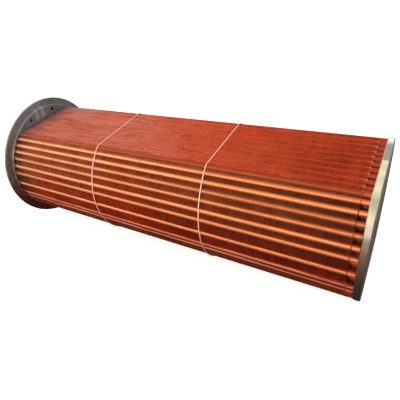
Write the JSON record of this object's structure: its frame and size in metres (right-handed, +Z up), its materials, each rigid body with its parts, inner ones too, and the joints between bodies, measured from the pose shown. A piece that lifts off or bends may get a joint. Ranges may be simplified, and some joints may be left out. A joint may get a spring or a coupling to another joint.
{
  "type": "aftercooler tube bundle",
  "caption": "Removable finned-tube air cooler bundle: copper tubes through a copper plate-fin pack, with a flanged fixed tube sheet and a flat-sided floating tube sheet.",
  "frame": {"origin": "on the bundle's axis, in the gasket face of the fixed tube sheet's flange", "axes": "+X along the bundle from the fixed to the floating tube sheet, +Z up, square to the bundle's flat top"},
  "size_m": [1.045, 0.41, 0.4099],
  "materials": {
    "dark_steel": "turned steel plate gone dark, light film of oil",
    "machined_steel": "machined, slightly yellowed and stained",
    "copper_fins": "oxidised copper fin plates",
    "copper_tubes": "drawn copper tube, light tarnish",
    "tie_wire": "plain soft tie wire"
  },
  "bodies": {
    "root": {"fixed_tubesheet": "dark_steel", "floating_tubesheet": "machined_steel", "fin_pack": "copper_fins", "tubes_row_01": "copper_tubes", "tubes_row_02": "copper_tubes", "tubes_row_03": "copper_tubes", "tubes_row_04": "copper_tubes", "tubes_row_05": "copper_tubes", "tubes_row_06": "copper_tubes", "tubes_row_07": "copper_tubes", "tubes_row_08": "copper_tubes", "tubes_row_09": "copper_tubes", "tubes_row_10": "copper_tubes", "tubes_row_11": "copper_tubes", "tubes_row_12": "copper_tubes", "tubes_row_13": "copper_tubes", "tubes_row_14": "copper_tubes", "tubes_row_15": "copper_tubes", "tie_wire_flange_end": "tie_wire", "tie_wire_middle": "tie_wire"}
  },
  "joints": []
}
